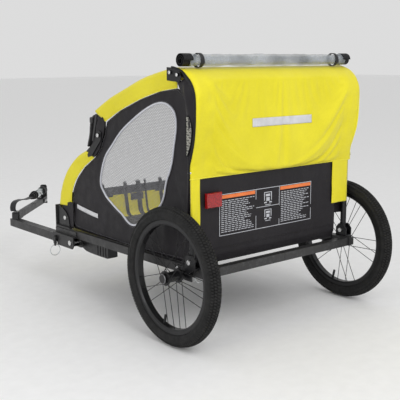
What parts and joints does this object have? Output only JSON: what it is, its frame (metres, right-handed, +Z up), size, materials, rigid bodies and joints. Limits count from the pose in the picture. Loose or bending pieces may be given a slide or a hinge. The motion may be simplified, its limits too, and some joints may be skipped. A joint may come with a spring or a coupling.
{
  "type": "child bicycle trailer",
  "caption": "Two-seat child bicycle trailer with a folding frame, fabric cabin, spoked wheels and a swing-away side tow arm.",
  "frame": {"origin": "on the ground, midway between the wheels and midway between the hitch tip and the rearmost point of the tyres", "axes": "+X to the trailer's left, -Y forward towards the bicycle, +Z up"},
  "size_m": [0.803, 1.5056, 0.817],
  "materials": {
    "side_rail": "satin dark grey powder coat",
    "crossbars": "satin dark grey powder coat",
    "joint_sleeve": "zinc plated",
    "end_caps": "moulded black",
    "brackets": "satin black",
    "bolts": "zinc plated",
    "receivers": "satin black",
    "axles": "zinc plated",
    "tow_bracket": "satin dark grey powder coat",
    "keel_guards": "moulded black",
    "floor_fabric": "coated polyester weave",
    "seat_fabric": "coated polyester weave",
    "harness_webbing": "woven nylon webbing",
    "side_fabric": "coated polyester weave",
    "hoop_posts": "satin black",
    "hoop_crossbar": "satin black",
    "top_joints": "satin black",
    "cover_fabric": "coated polyester weave",
    "rear_fabric": "coated polyester weave",
    "reflector": "prismatic red lens",
    "rolled_vinyl": "clear vinyl roll with black binding",
    "lower_bows": "satin black",
    "bow_bands": "coated polyester weave",
    "elbow_hinges": "satin black",
    "upper_bows": "satin black",
    "elbow_bosses": "satin black",
    "latch_levers": "grey",
    "tyres": "black rubber tread",
    "rims": "black anodised",
    "hubs": "black",
    "bearings": "ground steel",
    "spokes": "black steel wire",
    "axle_pins": "zinc plated",
    "pin_rings": "zinc plated",
    "tow_tube": "satin dark grey powder coat",
    "tube_plugs": "moulded black",
    "hitch_tube": "satin dark grey powder coat",
    "corner_clamp": "moulded black",
    "hitch_bracket": "satin black",
    "lock_pin": "black knob",
    "coupler_rubber": "moulded black rubber",
    "coupler_metal": "zinc plated",
    "coupler_boot": "ribbed black rubber",
    "strap_webbing": "woven nylon webbing"
  },
  "bodies": {
    "chassis": {"left_side_rail": "side_rail", "right_side_rail": "side_rail", "crossbars": "crossbars", "crossbar_joint_sleeve": "joint_sleeve", "rail_end_caps": "end_caps", "front_brackets": "brackets", "hoop_brackets": "brackets", "frame_bolts": "bolts", "axle_receivers": "receivers", "wheel_axles": "axles", "tow_bracket": "tow_bracket", "keel_guards": "keel_guards", "floor_panel": "floor_fabric", "seat_cushion": "seat_fabric", "seat_back": "seat_fabric", "harnesses": "harness_webbing", "side_panels": "side_fabric"},
    "rear_hoop": {"hoop_posts": "hoop_posts", "hoop_crossbar": "hoop_crossbar", "top_joints": "top_joints", "rear_cover": "cover_fabric", "rear_panel": "rear_fabric", "rear_reflector": "reflector", "rolled_front_cover": "rolled_vinyl"},
    "lower_bows": {"lower_bows": "lower_bows", "lower_bow_bands": "bow_bands", "elbow_hinges": "elbow_hinges"},
    "upper_bows": {"upper_bows": "upper_bows", "upper_bow_bands": "bow_bands", "elbow_bosses": "elbow_bosses"},
    "left_latch": {"left_latch_lever": "latch_levers"},
    "right_latch": {"right_latch_lever": "latch_levers"},
    "left_wheel": {"left_tyre": "tyres", "left_rim": "rims", "left_hub": "hubs", "left_hub_bearings": "bearings", "left_spokes": "spokes"},
    "right_wheel": {"right_tyre": "tyres", "right_rim": "rims", "right_hub": "hubs", "right_hub_bearings": "bearings", "right_spokes": "spokes"},
    "left_axle_pin": {"left_axle_pin": "axle_pins"},
    "right_axle_pin": {"right_axle_pin": "axle_pins"},
    "left_pin_ring": {"left_axle_pin_ring": "pin_rings"},
    "right_pin_ring": {"right_axle_pin_ring": "pin_rings"},
    "tow_arm": {"tow_tube": "tow_tube", "tube_end_plugs": "tube_plugs", "hitch_tube": "hitch_tube", "corner_clamp": "corner_clamp", "hitch_ear_bracket": "hitch_bracket", "hitch_bolts": "bolts", "safety_strap": "strap_webbing"},
    "lock_pin": {"tow_lock_pin": "lock_pin"},
    "lock_pin_ring": {"tow_lock_pin_ring": "pin_rings"},
    "coupler": {"coupler_rubber": "coupler_rubber", "coupler_tongue": "coupler_metal", "hitch_plate_pin": "bolts"},
    "hitch_plate": {"axle_hitch_plate": "coupler_metal", "coupler_boot": "coupler_boot"}
  },
  "joints": [
    {"name": "frame_fold", "type": "hinge", "parent": "chassis", "child": "rear_hoop", "pos_m": [0, 0.59383, 0.244], "axis": [1, 0, 0], "range_deg": [0, 58], "deforming": ["side_panels", "seat_back", "harnesses", "rear_cover", "rear_panel"]},
    {"name": "lower_bow_fold", "type": "hinge", "parent": "chassis", "child": "lower_bows", "pos_m": [0, -0.11417, 0.26], "axis": [1, 0, 0], "range_deg": [-38, 0.5]},
    {"name": "elbow_fold", "type": "hinge", "parent": "lower_bows", "child": "upper_bows", "pos_m": [0, 0.11183, 0.562], "axis": [1, 0, 0], "range_deg": [-0.5, 4]},
    {"name": "left_latch_open", "type": "hinge", "parent": "upper_bows", "child": "left_latch", "pos_m": [0.298, 0.08683, 0.622], "axis": [1, 0, 0], "range_deg": [-80, 0]},
    {"name": "right_latch_open", "type": "hinge", "parent": "upper_bows", "child": "right_latch", "pos_m": [-0.298, 0.08683, 0.622], "axis": [1, 0, 0], "range_deg": [-80, 0]},
    {"name": "left_wheel_spin", "type": "hinge", "parent": "chassis", "child": "left_wheel", "pos_m": [0.3665, 0.55283, 0.2], "axis": [1, 0, 0], "continuous": true},
    {"name": "right_wheel_spin", "type": "hinge", "parent": "chassis", "child": "right_wheel", "pos_m": [-0.3665, 0.55283, 0.2], "axis": [1, 0, 0], "continuous": true},
    {"name": "left_axle_pin_pull", "type": "slide", "parent": "chassis", "child": "left_axle_pin", "axis": [0, 1, 0], "range_m": [0, 0.03]},
    {"name": "left_pin_ring_swing", "type": "hinge", "parent": "left_axle_pin", "child": "left_pin_ring", "pos_m": [0.282, 0.57083, 0.2], "axis": [1, 0, 0], "range_deg": [-15, 80]},
    {"name": "right_axle_pin_pull", "type": "slide", "parent": "chassis", "child": "right_axle_pin", "axis": [0, 1, 0], "range_m": [0, 0.03]},
    {"name": "right_pin_ring_swing", "type": "hinge", "parent": "right_axle_pin", "child": "right_pin_ring", "pos_m": [-0.282, 0.57083, 0.2], "axis": [1, 0, 0], "range_deg": [-15, 80]},
    {"name": "tow_arm_fold", "type": "hinge", "parent": "chassis", "child": "tow_arm", "pos_m": [0.314, -0.04717, 0.18525], "axis": [1, 0, 0], "range_deg": [0, 180]},
    {"name": "lock_pin_pull", "type": "slide", "parent": "tow_arm", "child": "lock_pin", "axis": [1, 0, 0], "range_m": [0, 0.055]},
    {"name": "lock_pin_ring_swing", "type": "hinge", "parent": "lock_pin", "child": "lock_pin_ring", "pos_m": [0.34, -0.14417, 0.16325], "axis": [1, 0, 0], "range_deg": [-80, 80]},
    {"name": "coupler_turn", "type": "hinge", "parent": "tow_arm", "child": "coupler", "pos_m": [0.05378, -0.73939, 0.2515], "axis": [-0.7071, -0.7071, 0], "range_deg": [-40, 40]},
    {"name": "hitch_plate_lift", "type": "hinge", "parent": "coupler", "child": "hitch_plate", "pos_m": [0.09904, -0.69413, 0.2515], "axis": [0.7071, -0.7071, 0], "range_deg": [0, 95]}
  ],
  "couplings": [
    {"joint": "lower_bow_fold", "follows": "frame_fold", "ratio": -0.63793},
    {"joint": "elbow_fold", "follows": "frame_fold", "ratio": 0.05172}
  ]
}
